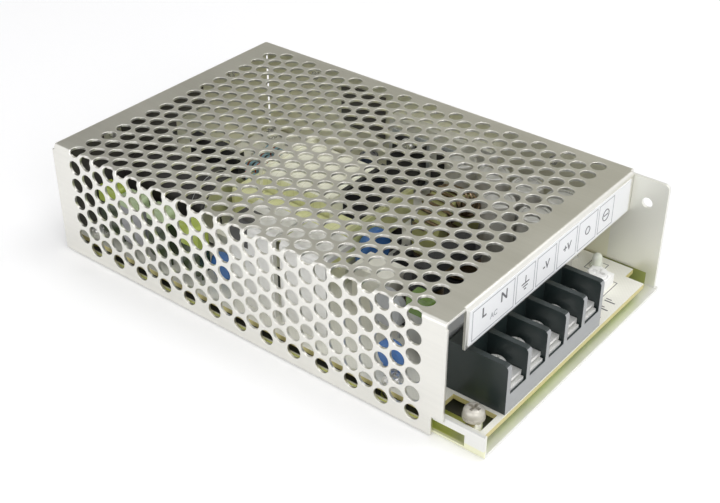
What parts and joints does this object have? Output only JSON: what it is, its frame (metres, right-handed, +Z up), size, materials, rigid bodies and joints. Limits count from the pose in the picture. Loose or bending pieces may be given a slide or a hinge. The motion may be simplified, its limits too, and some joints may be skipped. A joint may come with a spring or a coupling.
{
  "type": "enclosed switching power supply",
  "caption": "Enclosed switching power supply: folded chassis, perforated folded cover, circuit board and a barrier terminal block at the open front.",
  "frame": {"origin": "centre of the bottom face of the overall box", "axes": "+X towards the terminals, +Y towards the solid chassis wall, +Z up"},
  "size_m": [0.159, 0.097, 0.038],
  "materials": {
    "zinc_sheet": "bright zinc plate, satin",
    "satin_sheet": "satin zinc plate",
    "bright_steel": "bright zinc plate",
    "nickel": "nickel plate",
    "white_film": "printed polyester film",
    "dark_film": "polyester film",
    "board_laminate": "bare laminate above, green mask below",
    "black_moulding": "moulded",
    "black_plastic": "moulded",
    "black_epoxy": "moulded epoxy",
    "grey_plastic": "moulded",
    "ivory_plastic": "moulded",
    "green_lens": "tinted lens",
    "clear_glass": "clear",
    "green_lacquer": "dipped lacquer",
    "blue_lacquer": "dipped lacquer",
    "resistor_lacquer": "lacquer",
    "dark_sleeve": "shrink sleeve on a can",
    "grey_sleeve": "shrink sleeve on a can",
    "ferrite": "sintered",
    "yellow_core": "coated iron powder",
    "cream_tape": "tape",
    "enamelled_copper": "enamelled wire",
    "aluminium_plate": "plain",
    "grey_rubber": "silicone pad"
  },
  "bodies": {
    "case": {"chassis": "zinc_sheet", "cover": "satin_sheet", "cover_screws": "bright_steel", "label_strip": "white_film", "insulating_film": "dark_film", "board": "board_laminate", "board_standoffs": "nickel", "board_screws": "bright_steel", "earth_post": "nickel", "earth_screw": "bright_steel", "terminal_block": "black_moulding", "terminal_plates": "nickel", "terminal_clamps": "nickel", "terminal_screws": "bright_steel", "fuse_tube": "clear_glass", "fuse_caps": "nickel", "fuse_clips": "nickel", "inrush_thermistor": "grey_plastic", "varistor": "blue_lacquer", "x_capacitors": "grey_plastic", "y_capacitors": "blue_lacquer", "line_choke_core": "ferrite", "line_choke_bobbin": "black_plastic", "line_choke_windings": "enamelled_copper", "bridge_rectifier": "black_epoxy", "bulk_capacitor": "dark_sleeve", "film_capacitors": "green_lacquer", "snubber_capacitors": "ivory_plastic", "primary_heatsink": "aluminium_plate", "primary_switch": "black_epoxy", "primary_switch_screw": "bright_steel", "power_resistors": "resistor_lacquer", "transformer_core": "ferrite", "transformer_bobbin": "ivory_plastic", "transformer_winding": "cream_tape", "optocoupler": "black_epoxy", "controller_chip": "black_epoxy", "small_capacitors": "dark_sleeve", "heat_bar": "aluminium_plate", "output_rectifiers": "black_epoxy", "rectifier_pads": "grey_rubber", "rectifier_screws": "bright_steel", "output_choke_core": "yellow_core", "output_choke_winding": "enamelled_copper", "output_capacitors": "grey_sleeve", "trimmer_body": "ivory_plastic", "indicator_lamp": "green_lens"},
    "trimmer": {"trimmer_rotor": "ivory_plastic"}
  },
  "joints": [
    {"name": "trimmer_turn", "type": "hinge", "parent": "case", "child": "trimmer", "pos_m": [0.0669, 0.0314, 0.0086], "axis": [0, 0, 1], "range_deg": [-120, 120]}
  ]
}
